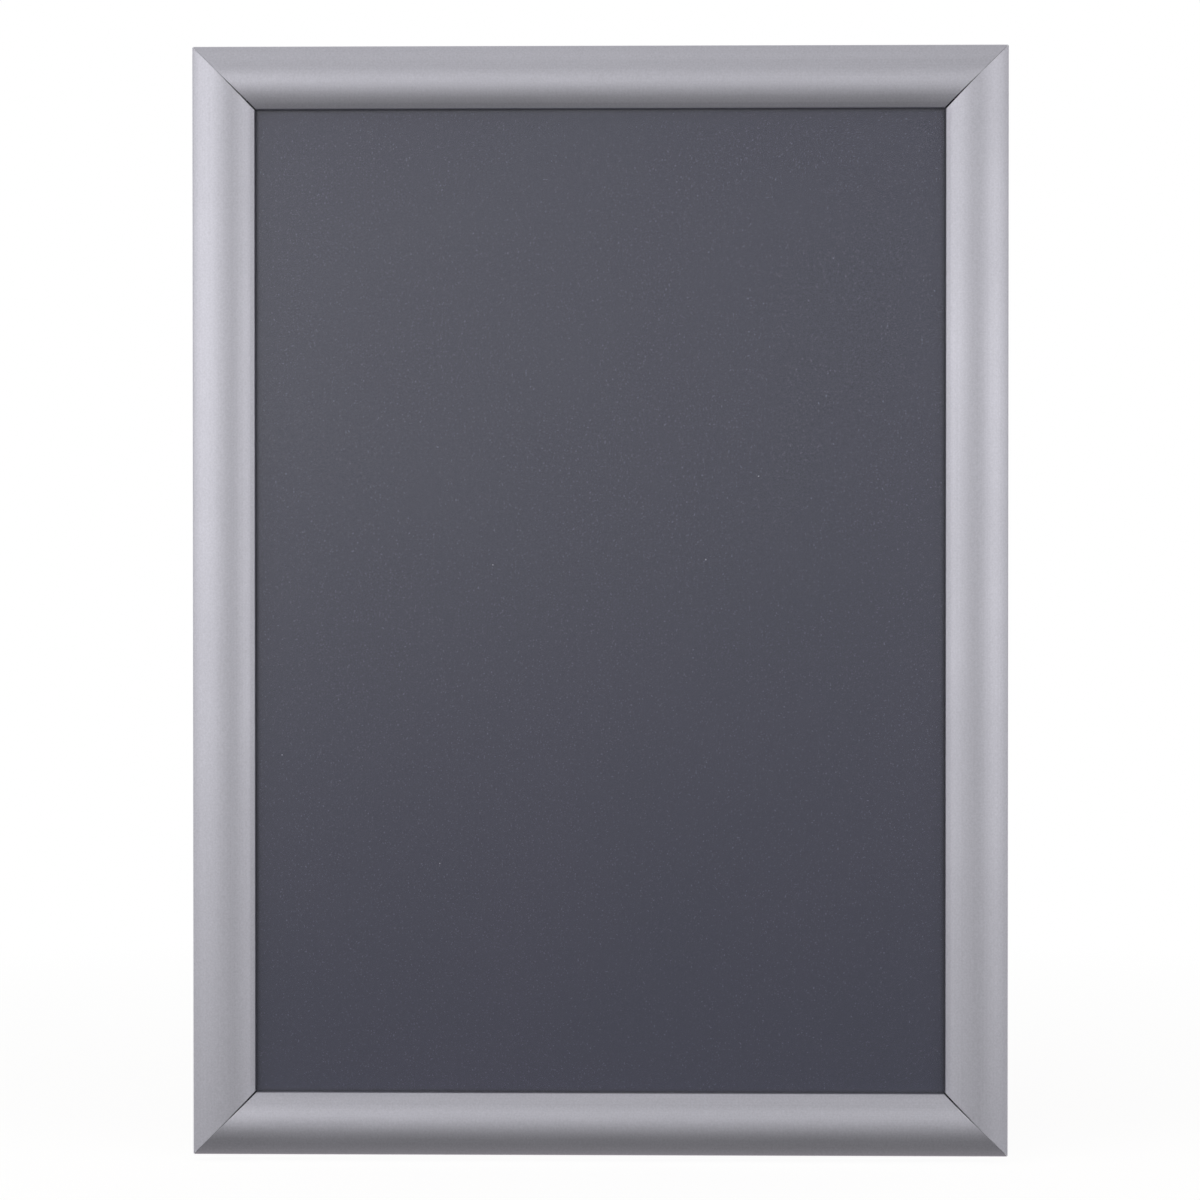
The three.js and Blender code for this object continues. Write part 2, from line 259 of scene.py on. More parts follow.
def placed_copy(model, name, turn, place=(0, 0, 0)):
    """A copy of the model with its own mesh, turned about Y and moved, with its place in its mesh."""
    make_active(model)
    bpy.ops.object.duplicate()
    piece = bpy.context.object
    piece.name = name
    piece.rotation_euler = (0, turn, 0)
    piece.location = place
    bpy.ops.object.transform_apply(location=True, rotation=True, scale=True)
    return piece


def add_node(tree, kind, inputs=None, **settings):
    """A node with its settings, and with its inputs set to values or linked to sockets."""
    node = tree.nodes.new("ShaderNode" + kind)
    for name, value in settings.items():
        setattr(node, name, value)
    for socket, value in (inputs or {}).items():
        if isinstance(value, bpy.types.NodeSocket):
            tree.links.new(value, node.inputs[socket])
        else:
            node.inputs[socket].default_value = value
    return node


def new_effect(name, inputs, outputs):
    """An empty shader node group with its named inputs and outputs."""
    effect = bpy.data.node_groups.new(name, "ShaderNodeTree")
    for socket, kind in inputs.items():
        effect.interface.new_socket(socket, in_out="INPUT", socket_type=kind)
    for socket in outputs:
        effect.interface.new_socket(socket, in_out="OUTPUT", socket_type="NodeSocketFloat")
    return effect, effect.nodes.new("NodeGroupInput"), effect.nodes.new("NodeGroupOutput")


def use_effect(tree, effect, inputs):
    """Places an effect in a material with its own values, and gives its outputs."""
    node = tree.nodes.new("ShaderNodeGroup")
    node.node_tree = effect
    for socket, value in inputs.items():
        node.inputs[socket].default_value = value
    return node.outputs


def mix_colours(tree, share, first, second):
    """A mix of two colours. The node has inputs 6 and 7 and output 2 for colours."""
    node = add_node(tree, "Mix", {0: share, 6: first, 7: second}, data_type="RGBA")
    return node.outputs[2]


def spread(tree, value, low, high):
    """A value from 0 to 1, spread between two others."""
    return add_node(tree, "MapRange", {"Value": value, "To Min": low, "To Max": high}).outputs[0]


def surface_relief(tree, height, strength, depth):
    """Normals of a fine relief, from a height of 0 to 1 over the given depth."""
    node = add_node(tree, "Bump", {"Strength": strength, "Distance": depth, "Height": height})
    return node.outputs[0]


def new_finish(name, plain):
    """A new material and its nodes, with plain values on the shader's own sockets."""
    material = bpy.data.materials.new(name)
    material.use_nodes = True
    shader = material.node_tree.nodes["Principled BSDF"]
    for socket, value in plain.items():
        shader.inputs[socket].default_value = value
    return material, material.node_tree


def link_finish(tree, sources):
    """Links the values that change over the surface to the material's shader."""
    shader = tree.nodes["Principled BSDF"]
    for socket, source in sources.items():
        tree.links.new(source, shader.inputs[socket])


# Drawn grain: long faint lines in the drawing direction, over a fine etched tooth
drawn_grain, grain_in, grain_out = new_effect(
    "drawn_grain",
    {"Line Scale": "NodeSocketVector", "Tooth Scale": "NodeSocketFloat"},
    ("Lines", "Tooth"),
)
grain_place = add_node(drawn_grain, "TexCoord").outputs["Object"]
line_place = add_node(
    drawn_grain,
    "VectorMath",
    {0: grain_place, 1: grain_in.outputs["Line Scale"]},
    operation="MULTIPLY",
)
line_noise = add_node(
    drawn_grain,
    "TexNoise",
    {"Vector": line_place.outputs[0], "Scale": 1.0, "Detail": 3.0, "Roughness": 0.7},
)
tooth_noise = add_node(
    drawn_grain,
    "TexNoise",
    {"Vector": grain_place, "Scale": grain_in.outputs["Tooth Scale"], "Detail": 2.0, "Roughness": 0.6},
)
drawn_grain.links.new(line_noise.outputs[0], grain_out.inputs["Lines"])
drawn_grain.links.new(tooth_noise.outputs[0], grain_out.inputs["Tooth"])

# Handling marks: soft patches where hands and cloths have been
handling, handling_in, handling_out = new_effect(
    "handling",
    {"Patch Scale": "NodeSocketFloat"},
    ("Patches",),
)
handling_noise = add_node(
    handling,
    "TexNoise",
    {
        "Vector": add_node(handling, "TexCoord").outputs["Object"],
        "Scale": handling_in.outputs["Patch Scale"],
        "Detail": 4.0,
        "Roughness": 0.55,
        "Distortion": 0.4,
    },
)
handling.links.new(handling_noise.outputs[0], handling_out.inputs["Patches"])


def anodised_aluminium(name, line_scale):
    """Etched and silver anodised extrusion, whose die lines run along the rail."""
    material, tree = new_finish(name, {"Metallic": 1.0})
    grain = use_effect(tree, drawn_grain, {"Line Scale": line_scale, "Tooth Scale": 1300.0})
    marks = use_effect(tree, handling, {"Patch Scale": 14.0})
    lined = mix_colours(tree, grain["Lines"], *DIE_LINE_COLOURS)
    etched = mix_colours(tree, grain["Tooth"], *ETCHED_COLOURS)
    link_finish(
        tree,
        {
            "Base Color": mix_colours(tree, ETCHED_SHARE, lined, etched),
            "Roughness": spread(tree, marks["Patches"], low=0.46, high=0.56),
            "Normal": surface_relief(tree, grain["Tooth"], strength=0.25, depth=0.02 * MM),
        },
    )
    return material


def sawn_aluminium(name):
    """Bare metal on a cut end, with the saw's fine marks."""
    material, tree = new_finish(name, {"Metallic": 1.0})
    grain = use_effect(tree, drawn_grain, {"Line Scale": (900.0, 6000.0, 900.0)})
    link_finish(
        tree,
        {
            "Base Color": mix_colours(tree, grain["Lines"], *SAWN_COLOURS),
            "Roughness": spread(tree, grain["Lines"], low=0.4, high=0.6),
            "Normal": surface_relief(tree, grain["Lines"], strength=0.4, depth=0.03 * MM),
        },
    )
    return material


RAIL_FINISHES = {
    "across": anodised_aluminium("anodised_across", (LONG_GRAIN, CROSS_GRAIN, CROSS_GRAIN)),
    "upright": anodised_aluminium("anodised_upright", (CROSS_GRAIN, CROSS_GRAIN, LONG_GRAIN)),
}
SAWN_FINISH = sawn_aluminium("sawn_aluminium")


def base_section():
    """Back plate, hinge wall with its bead, spring rib with its notch, key channel and panel pocket."""
    hinge = (HINGE_U, HINGE_V)
    wall_inner = WALL_OUTER + WALL_THICKNESS
    bead_start = -math.acos((wall_inner - HINGE_U) / BEAD_RADIUS)
    bead_end = 2 * math.pi - math.acos((WALL_OUTER - HINGE_U) / BEAD_RADIUS)
    rib_outer = RIB_NOTCH_U - RIB_NOTCH
    rib_top = SPRING_V + RIB_NOTCH + RIB_NOTCH_MARGIN
    piece = start_section("base_model", WALL_OUTER, 0)
    draw_line(piece, FLANGE_END, 0)
    draw_line(piece, FLANGE_END, PLATE)
    draw_line(piece, POCKET_WALL, PLATE)
    draw_line(piece, POCKET_WALL, CHANNEL_LIP_TOP)
    draw_line(piece, CHANNEL_INNER - CHANNEL_LIP_REACH, CHANNEL_LIP_TOP)
    draw_line(piece, CHANNEL_INNER - CHANNEL_LIP_REACH, CHANNEL_LIP_BOTTOM)
    draw_line(piece, CHANNEL_INNER, CHANNEL_LIP_BOTTOM)
    draw_line(piece, CHANNEL_INNER, PLATE)
    draw_line(piece, CHANNEL_OUTER, PLATE)
    draw_line(piece, CHANNEL_OUTER, CHANNEL_LIP_BOTTOM)
    draw_line(piece, CHANNEL_OUTER + CHANNEL_LIP_REACH, CHANNEL_LIP_BOTTOM)
    draw_line(piece, CHANNEL_OUTER + CHANNEL_LIP_REACH, CHANNEL_LIP_TOP)
    draw_line(piece, CHANNEL_OUTER, CHANNEL_LIP_TOP)
    draw_line(piece, CHANNEL_OUTER, rib_top)
    draw_line(piece, rib_outer, rib_top)
    draw_line(piece, rib_outer, SPRING_V + RIB_NOTCH)
    draw_line(piece, RIB_NOTCH_U, SPRING_V)
    draw_line(piece, rib_outer, SPRING_V - RIB_NOTCH)
    draw_line(piece, rib_outer, PLATE)
    draw_line(piece, wall_inner, PLATE)
    draw_line(piece, wall_inner, HINGE_V + BEAD_RADIUS * math.sin(bead_start))
    draw_arc(hinge, bead_end - bead_start)
    draw_line(piece, WALL_OUTER, 0)
    return piece


def drill_screw_holes(piece, length, reach):
    middle = (CHANNEL_OUTER + CHANNEL_INNER) / 2 - reach
    for end in (-1, 1):
        bpy.ops.mesh.primitive_cylinder_add(
            vertices=HOLE_SIDES,
            radius=HOLE_RADIUS,
            depth=DRILL_LENGTH,
            location=(end * (length / 2 - HOLE_INSET), -PLATE / 2, middle),
            rotation=(math.pi / 2, 0, 0),
        )
        trim(piece, bpy.context.object)


def on_back(face):
    """True on the faces that lie on the wall."""
    return face.calc_center_median().y > -WELD


for run, length, reach, turns in RAIL_RUNS:
    model = base_section()
    pull_section(length, 0, reach)
    round_long_edges(model, LONG_EDGE_RADIUS)
    corner = Vector((length / 2 - BASE_MITRE_GAP, 0, -reach))
    saw_ends(model, corner, MITRE, OFFCUT)
    if run == "across":
        drill_screw_holes(model, length, reach)
    model.data.materials.append(RAIL_FINISHES[run])
    model.data.materials.append(SAWN_FINISH)
    dress_mitres(model, SAWN_EDGE_RADIUS, on_back)
    smooth_faces(model)
    for side, turn in turns.items():
        rail = placed_copy(model, f"base_extrusion_{side}", turn)
        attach(rail, "frame")
        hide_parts(f"base_rail_{side}")
    bpy.data.objects.remove(model)

# Corner keys: flat L plates of zinc plated steel, stamped with chamfered ends.
# A leg slides into the key channel of each of two base rails, and centre-punch dimples grip it there.
key_low, key_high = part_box("corner_key_bottom_left")
KEY_FIT = 0.15 * MM
KEY_WIDTH = CHANNEL_INNER - CHANNEL_OUTER - 2 * KEY_FIT
KEY_LEG = key_high.x - key_low.x
KEY_LEG_REACH = KEY_LEG - KEY_WIDTH
KEY_THICKNESS = key_high.y - key_low.y
KEY_CHAMFER = 1.5 * MM
KEY_EDGE_RADIUS = 0.15 * MM
KEY_OFFSET = key_low.z - cad_low.z
KEY_MIDDLE = KEY_OFFSET + KEY_WIDTH / 2
KEY_PAST_CORNER = KEY_OFFSET + 1.5 * KEY_WIDTH
DIMPLE_RADIUS = 1.6 * MM
DIMPLE_DEPTH = 0.45 * MM
DIMPLE_PLACES = (14 * MM, 36 * MM)
DIMPLE_SIDES = 32
ZINC_COLOURS = ((0.36, 0.37, 0.4, 1), (0.5, 0.48, 0.42, 1))
ZINC_TOOTH_SHARE = 0.25
CORNERS = {
    "bottom_left": (-1, -1, 0.0),
    "bottom_right": (1, -1, -math.pi / 2),
    "top_right": (1, 1, math.pi),
    "top_left": (-1, 1, math.pi / 2),
}


def zinc_plated_steel(name):
    """Bright zinc over rolled plate, with the passivation's warm and cool patches."""
    material, tree = new_finish(name, {"Metallic": 1.0})
    grain = use_effect(tree, drawn_grain, {"Line Scale": (60.0, 60.0, 1400.0), "Tooth Scale": 900.0})
    marks = use_effect(tree, handling, {"Patch Scale": 160.0})
    patches = mix_colours(tree, marks["Patches"], *ZINC_COLOURS)
    link_finish(
        tree,
        {
            "Base Color": mix_colours(tree, ZINC_TOOTH_SHARE, patches, grain["Tooth"]),
            "Roughness": spread(tree, grain["Lines"], low=0.28, high=0.5),
            "Normal": surface_relief(tree, grain["Tooth"], strength=0.2, depth=0.03 * MM),
        },
    )
    return material


def break_edges(piece, radius):
    """Rounds every sharp edge, as tumbling does."""
    make_active(piece)
    bpy.ops.object.modifier_add(type="BEVEL")
    rounding = piece.modifiers[-1]
    rounding.width = radius
    rounding.segments = EDGE_SEGMENTS
    rounding.limit_method = "ANGLE"
    rounding.angle_limit = SHARP_EDGE
    bpy.ops.object.modifier_apply(modifier=rounding.name)


def select_points(piece, wanted):
    """Selects the points whose places the given test picks."""
    bpy.ops.mesh.select_mode(type="VERT")
    bpy.ops.mesh.select_all(action="DESELECT")
    mesh = bmesh.from_edit_mesh(piece.data)
    for vert in mesh.verts:
        vert.select_set(wanted(vert.co))
    mesh.select_flush(True)
    bmesh.update_edit_mesh(piece.data)


bpy.ops.object.select_all(action="DESELECT")
bpy.ops.mesh.primitive_plane_add(
    size=KEY_WIDTH,
    location=(KEY_MIDDLE, key_high.y, KEY_MIDDLE),
    rotation=(math.pi / 2, 0, 0),
)
key_model = bpy.context.object
bpy.ops.object.transform_apply(location=True, rotation=True, scale=True)
bpy.ops.object.mode_set(mode="EDIT")
select_points(key_model, lambda place: place.x > KEY_MIDDLE)
bpy.ops.mesh.extrude_region_move(TRANSFORM_OT_translate={"value": (KEY_LEG_REACH, 0, 0)})
select_points(key_model, lambda place: place.z > KEY_MIDDLE and place.x < KEY_PAST_CORNER)
bpy.ops.mesh.extrude_region_move(TRANSFORM_OT_translate={"value": (0, 0, KEY_LEG_REACH)})
select_points(key_model, lambda place: max(place.x, place.z) > KEY_PAST_CORNER)
bpy.ops.mesh.bevel(offset=KEY_CHAMFER, affect="VERTICES")
bpy.ops.mesh.select_all(action="SELECT")
bpy.ops.mesh.extrude_region_move(TRANSFORM_OT_translate={"value": (0, -KEY_THICKNESS, 0)})
bpy.ops.mesh.select_all(action="SELECT")
bpy.ops.mesh.normals_make_consistent(inside=False)
bpy.ops.object.mode_set(mode="OBJECT")
for reach in DIMPLE_PLACES:
    for swap in (False, True):
        along = KEY_OFFSET + reach
        bpy.ops.mesh.primitive_uv_sphere_add(
            segments=DIMPLE_SIDES,
            ring_count=DIMPLE_SIDES // 2,
            radius=DIMPLE_RADIUS,
            location=(
                KEY_MIDDLE if swap else along,
                key_low.y - DIMPLE_RADIUS + DIMPLE_DEPTH,
                along if swap else KEY_MIDDLE,
            ),
        )
        trim(key_model, bpy.context.object)
break_edges(key_model, KEY_EDGE_RADIUS)
key_model.data.materials.append(zinc_plated_steel("zinc_plated_steel"))
smooth_faces(key_model)
for corner, (side, level, turn) in CORNERS.items():
    place = (side * OUTER_WIDTH / 2, 0, level * OUTER_HEIGHT / 2)
    key = placed_copy(key_model, f"corner_plate_{corner}", turn, place)
    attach(key, "frame")
    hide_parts(f"corner_key_{corner}")
bpy.data.objects.remove(key_model)

# Back panel: a dark grey sheet of matt polystyrene that fills the pocket of the base rails.
# It lies on their flanges, held by nothing but the cover rails, and shows through the clear cover.
PANEL_CORNER = 1.5 * MM
PANEL_EDGE_RADIUS = 0.2 * MM
RIM_ANGLE = math.radians(80)
RIM_SEGMENTS = 2
ROUND_CORNER_SEGMENTS = 8
PANEL_COLOURS = ((0.03, 0.031, 0.056, 1), (0.038, 0.039, 0.068, 1))
PANEL_TOOTH_SHARE = 0.12


def cut_sheet(name, low, high, corner, edge_radius):
    """A flat sheet between two corners of a box, with round corners and broken edges."""
    bpy.ops.object.select_all(action="DESELECT")
    bpy.ops.mesh.primitive_cube_add(size=1, location=(low + high) / 2, scale=high - low)
    piece = bpy.context.object
    piece.name = name
    bpy.ops.object.transform_apply(location=True, rotation=True, scale=True)
    bpy.ops.object.mode_set(mode="EDIT")
    select_edges(piece, lambda edge: abs(edge.verts[0].co.y - edge.verts[1].co.y) > edge_radius)
    bpy.ops.mesh.bevel(offset=corner, segments=ROUND_CORNER_SEGMENTS, affect="EDGES", clamp_overlap=True)
    select_edges(piece, lambda edge: edge.calc_face_angle(0) > RIM_ANGLE)
    bpy.ops.mesh.bevel(offset=edge_radius, segments=RIM_SEGMENTS, affect="EDGES", clamp_overlap=True)
    bpy.ops.object.mode_set(mode="OBJECT")
    smooth_faces(piece)
    return piece


def panel_plastic(name):
    """Matt calendered plastic: a fine pebbled skin and faint cloudy marks."""
    material, tree = new_finish(name, {"Specular IOR Level": 1.0})
    grain = use_effect(tree, drawn_grain, {"Line Scale": (900.0, 900.0, 900.0), "Tooth Scale": 3200.0})
    marks = use_effect(tree, handling, {"Patch Scale": 9.0})
    clouded = mix_colours(tree, marks["Patches"], *PANEL_COLOURS)
    link_finish(
        tree,
        {
            "Base Color": mix_colours(tree, PANEL_TOOTH_SHARE, clouded, grain["Tooth"]),
            "Roughness": spread(tree, grain["Lines"], low=0.4, high=0.55),
            "Normal": surface_relief(tree, grain["Tooth"], strength=0.3, depth=0.03 * MM),
        },
    )
    return material


panel = cut_sheet("backing_panel", panel_low, panel_high, PANEL_CORNER, PANEL_EDGE_RADIUS)
panel.data.materials.append(panel_plastic("panel_plastic"))
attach(panel, "frame")
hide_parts("back_panel")

# Cover sheet: a clear PVC sheet, half a millimetre thick, with a matt anti-glare front.
# It lies loose over the panel, with room for a poster between them, and the cover rails' lips hold it.
sheet_low, sheet_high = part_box("cover_sheet")
cover_low, cover_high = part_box("cover_rail_bottom")
SHEET_CORNER = 1.0 * MM
SHEET_EDGE_RADIUS = 0.1 * MM
WINDOW_HALF_HEIGHT = -cover_high.z
WINDOW_HALF_WIDTH = WINDOW_HALF_HEIGHT - (OUTER_HEIGHT - OUTER_WIDTH) / 2
# Where the dark line of painted shade along the lips lies, and how far it spreads
PAINTED_SHADE_INSET = 0.3 * MM
PAINTED_SHADE_SPREAD = 1.5 * MM
HAZE_COLOURS = ((0.034, 0.045, 0.114, 1), (0.067, 0.065, 0.145, 1))
FROST_SHARE = 0.1
LINT_COLOUR = (0.36, 0.36, 0.38, 1)
# Colour of the painted shade along the lips
PAINTED_SHADE_COLOUR = (0.012, 0.012, 0.016, 1)


def calculate(tree, operation, *values):
    """The result of one sum on values or sockets."""
    return add_node(tree, "Math", dict(enumerate(values)), operation=operation).outputs[0]


# Dust: a few bright specks of lint, each in a cell of its own
dust, dust_in, dust_out = new_effect(
    "dust",
    {"Cell Scale": "NodeSocketFloat", "Speck Size": "NodeSocketFloat", "Bare Share": "NodeSocketFloat"},
    ("Specks",),
)
dust_axes = add_node(dust, "SeparateXYZ", {0: add_node(dust, "TexCoord").outputs["Object"]})
dust_plane = add_node(dust, "CombineXYZ", {"X": dust_axes.outputs["X"], "Y": dust_axes.outputs["Z"]})
dust_cells = add_node(
    dust,
    "TexVoronoi",
    {"Vector": dust_plane.outputs[0], "Scale": dust_in.outputs["Cell Scale"]},
    voronoi_dimensions="2D",
)
dust_chance = add_node(dust, "SeparateXYZ", {0: dust_cells.outputs["Color"]})
dust_near = calculate(dust, "LESS_THAN", dust_cells.outputs["Distance"], dust_in.outputs["Speck Size"])
dust_pick = calculate(dust, "GREATER_THAN", dust_chance.outputs["X"], dust_in.outputs["Bare Share"])
dust_specks = calculate(dust, "MULTIPLY", dust_near, dust_pick)
dust.links.new(dust_specks, dust_out.inputs["Specks"])

# Painted lip shade: a dark line of painted shade along the edge of a window, on both sides of it, where the
# lips shade the sheet
lip_shade, lip_shade_in, lip_shade_out = new_effect(
    "rubbed_line",
    {
        "Half Width": "NodeSocketFloat",
        "Half Height": "NodeSocketFloat",
        "Inset": "NodeSocketFloat",
        "Spread": "NodeSocketFloat",
    },
    ("Grime",),
)
lip_shade_axes = add_node(lip_shade, "SeparateXYZ", {0: add_node(lip_shade, "TexCoord").outputs["Object"]})
lip_shade_across = calculate(lip_shade, "ABSOLUTE", lip_shade_axes.outputs["X"])
lip_shade_up = calculate(lip_shade, "ABSOLUTE", lip_shade_axes.outputs["Z"])
lip_shade_side = calculate(lip_shade, "SUBTRACT", lip_shade_across, lip_shade_in.outputs["Half Width"])
lip_shade_level = calculate(lip_shade, "SUBTRACT", lip_shade_up, lip_shade_in.outputs["Half Height"])
lip_shade_beyond = calculate(lip_shade, "MAXIMUM", lip_shade_side, lip_shade_level)
lip_shade_shift = calculate(lip_shade, "ADD", lip_shade_beyond, lip_shade_in.outputs["Inset"])
lip_shade_fade = add_node(
    lip_shade,
    "MapRange",
    {
        "Value": calculate(lip_shade, "ABSOLUTE", lip_shade_shift),
        "From Max": lip_shade_in.outputs["Spread"],
        "To Min": 1.0,
        "To Max": 0.0,
    },
    interpolation_type="SMOOTHSTEP",
)
lip_shade.links.new(lip_shade_fade.outputs[0], lip_shade_out.inputs["Grime"])


def matt_clear_plastic(name):
    """Thin clear film whose etched front scatters a little light, with dust on it and a line of painted
    shade along the lips, which also makes the film rougher there.
    """
    material, tree = new_finish(name, {"Specular IOR Level": 0.75, "IOR": 1.8})
    grain = use_effect(tree, drawn_grain, {"Tooth Scale": 1600.0})
    marks = use_effect(tree, handling, {"Patch Scale": 7.0})
    lint = use_effect(tree, dust, {"Cell Scale": 45.0, "Speck Size": 0.01, "Bare Share": 0.965})
    line = use_effect(
        tree,
        lip_shade,
        {
            "Half Width": WINDOW_HALF_WIDTH,
            "Half Height": WINDOW_HALF_HEIGHT,
            "Inset": PAINTED_SHADE_INSET,
            "Spread": PAINTED_SHADE_SPREAD,
        },
    )
    haze = mix_colours(tree, marks["Patches"], *HAZE_COLOURS)
    frosted = mix_colours(tree, FROST_SHARE, haze, grain["Tooth"])
    dusted = mix_colours(tree, lint["Specks"], frosted, LINT_COLOUR)
    uneven = spread(tree, marks["Patches"], low=0.4, high=0.75)
    # Painted shade along the lips, uneven in strength; the film is also made rougher there
    painted_shade = calculate(tree, "MULTIPLY", line["Grime"], uneven)
    clear = spread(tree, grain["Tooth"], low=0.5, high=0.62)
    matt = spread(tree, marks["Patches"], low=0.34, high=0.44)
    link_finish(
        tree,
        {
            "Base Color": mix_colours(tree, painted_shade, dusted, PAINTED_SHADE_COLOUR),
            "Alpha": calculate(tree, "MAXIMUM", clear, lint["Specks"]),
            "Roughness": calculate(tree, "MAXIMUM", matt, painted_shade),
            "Normal": surface_relief(tree, grain["Tooth"], strength=0.2, depth=0.02 * MM),
        },
    )
    return material


sheet = cut_sheet("cover_film", sheet_low, sheet_high, SHEET_CORNER, SHEET_EDGE_RADIUS)
sheet.data.materials.append(matt_clear_plastic("matt_clear_plastic"))
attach(sheet, "frame")
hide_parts("cover_sheet")

# Cover rails: four lengths of rounded, silver anodised aluminium extrusion, sawn at 45 degrees. A claw on
# the outer edge clips round the base rail's bead as a hinge, with a notch for the springs, and a lip on the
# inner edge lies on the cover sheet. The claw is cut back at its ends, so that neighbours swing clear.
RAIL_WIDTH = cover_high.z - cover_low.z
CLAW_RADIUS = 3.0 * MM
SOCKET_RADIUS = 1.6 * MM
CLAW_TIP = math.radians(143)
CLAW_END = math.radians(-80)
SKIN_RISE = -cad_low.y - HINGE_V - CLAW_RADIUS
SKIN_START = math.pi / 2 + 2 * math.atan2(SKIN_RISE, RAIL_WIDTH / 2 - HINGE_U)
OPENING = math.radians(80)
SKIN = 1.25 * MM
LIP = 1.25 * MM
SHOULDER = 1.7 * MM
SHOULDER_FACING = math.radians(50)
LIP_EDGE_RADIUS = 0.4 * MM
FOOT_WIDTH = 2.0 * MM
FOOT_THICKNESS = 0.8 * MM
FOOT_EDGE_RADIUS = 0.4 * MM
FOOT_BOTTOM = 3.8 * MM
SPRING_LINE = math.radians(-10.5)
NOTCH_RADIUS = 2.45 * MM
NOTCH_HALF_ANGLE = math.radians(22)
RELIEF_GAP = 0.5 * MM
COVER_MITRE_GAP = 0.03 * MM
OPENING_MITRE = Vector((1, 0, 1.034))
OPENING_MITRE_START = 11.5 * MM
ALONG_MITRE = Vector((-1, 0, 1))
UNDERCUT = Vector((1, 0.35, 1))
UNDERCUT_START = 7.1 * MM
UNDERCUT_SIZE = 8 * MM
SKIN_ARC_STEP = math.radians(1.5)
FRONT_LEAN = 0.1


def polar(centre, radius, angle):
    return centre[0] + radius * math.cos(angle), centre[1] + radius * math.sin(angle)


def cover_section():
    """Round skin from the claw's back to a flat shoulder, the lip, and the claw with its spring notch."""
    hinge = (HINGE_U, HINGE_V)
    crown = RAIL_WIDTH / 2
    distance = (HINGE_U - crown) / math.cos(SKIN_START)
    skin_centre = polar(hinge, -distance, SKIN_START)
    skin_outer = distance + CLAW_RADIUS
    skin_inner = skin_outer - SKIN
    shoulder_angle = math.acos((RAIL_WIDTH - SHOULDER - skin_centre[0]) / skin_outer)
    shoulder_start = polar(skin_centre, skin_outer, shoulder_angle)
    edge_start_u = RAIL_WIDTH - LIP_EDGE_RADIUS * (1 - math.cos(SHOULDER_FACING))
    shoulder_drop = (edge_start_u - shoulder_start[0]) / math.tan(SHOULDER_FACING)
    edge_start = (edge_start_u, shoulder_start[1] - shoulder_drop)
    edge_centre = polar(edge_start, -LIP_EDGE_RADIUS, SHOULDER_FACING)
    foot_centre = (RAIL_WIDTH - FOOT_EDGE_RADIUS, FOOT_BOTTOM + FOOT_EDGE_RADIUS)
    lip_back = RAIL_WIDTH - LIP
    lip_angle = math.acos((lip_back - skin_centre[0]) / skin_inner)
    claw_cosine = (skin_inner**2 - distance**2 - CLAW_RADIUS**2) / (2 * distance * CLAW_RADIUS)
    claw_angle = SKIN_START - math.acos(claw_cosine)
    claw_point = polar(hinge, CLAW_RADIUS, claw_angle)
    claw_skin_angle = math.atan2(claw_point[1] - skin_centre[1], claw_point[0] - skin_centre[0])
    seat_angle = SPRING_LINE - OPENING / 2

    piece = start_section("cover_model", *polar(hinge, CLAW_RADIUS, CLAW_TIP))
    draw_arc(hinge, SKIN_START - CLAW_TIP, SKIN_ARC_STEP)
    draw_arc(skin_centre, shoulder_angle - SKIN_START, SKIN_ARC_STEP)
    draw_line(piece, *edge_start)
    draw_arc(edge_centre, -SHOULDER_FACING)
    draw_line(piece, RAIL_WIDTH, foot_centre[1])
    draw_arc(foot_centre, -math.pi / 2, 2 * ARC_STEP)
    draw_line(piece, RAIL_WIDTH - FOOT_WIDTH, FOOT_BOTTOM)
    draw_line(piece, RAIL_WIDTH - FOOT_WIDTH, FOOT_BOTTOM + FOOT_THICKNESS)
    draw_line(piece, lip_back, FOOT_BOTTOM + FOOT_THICKNESS)
    draw_line(piece, *polar(skin_centre, skin_inner, lip_angle))
    draw_arc(skin_centre, claw_skin_angle - lip_angle, 2 * SKIN_ARC_STEP)
    draw_arc(hinge, seat_angle + NOTCH_HALF_ANGLE - claw_angle)
    draw_line(piece, *polar(hinge, NOTCH_RADIUS, seat_angle))
    draw_line(piece, *polar(hinge, CLAW_RADIUS, seat_angle - NOTCH_HALF_ANGLE))
    draw_arc(hinge, CLAW_END - seat_angle + NOTCH_HALF_ANGLE)
    draw_line(piece, *polar(hinge, SOCKET_RADIUS, CLAW_END))
    draw_arc(hinge, CLAW_TIP - CLAW_END)
    draw_line(piece, *polar(hinge, CLAW_RADIUS, CLAW_TIP))
    return piece


def on_skin(face):
    """True on the rounded front, which shows when the rail is shut."""
    return face.normal.y < -FRONT_LEAN and face.calc_center_median().y < -UNDERCUT_START


def mill_claw_ends(piece, length, reach):
    """Frees the swinging claw from the neighbouring rail's mitre."""
    width = CLAW_RADIUS + RELIEF_GAP
    relief_length = HINGE_U + width
    for end in (-1, 1):
        bpy.ops.mesh.primitive_cube_add(
            size=1,
            location=(end * length / 2, -HINGE_V / 2, HINGE_U + width / 2 - reach),
            scale=(2 * relief_length, HINGE_V, width),
        )
        trim(piece, bpy.context.object)


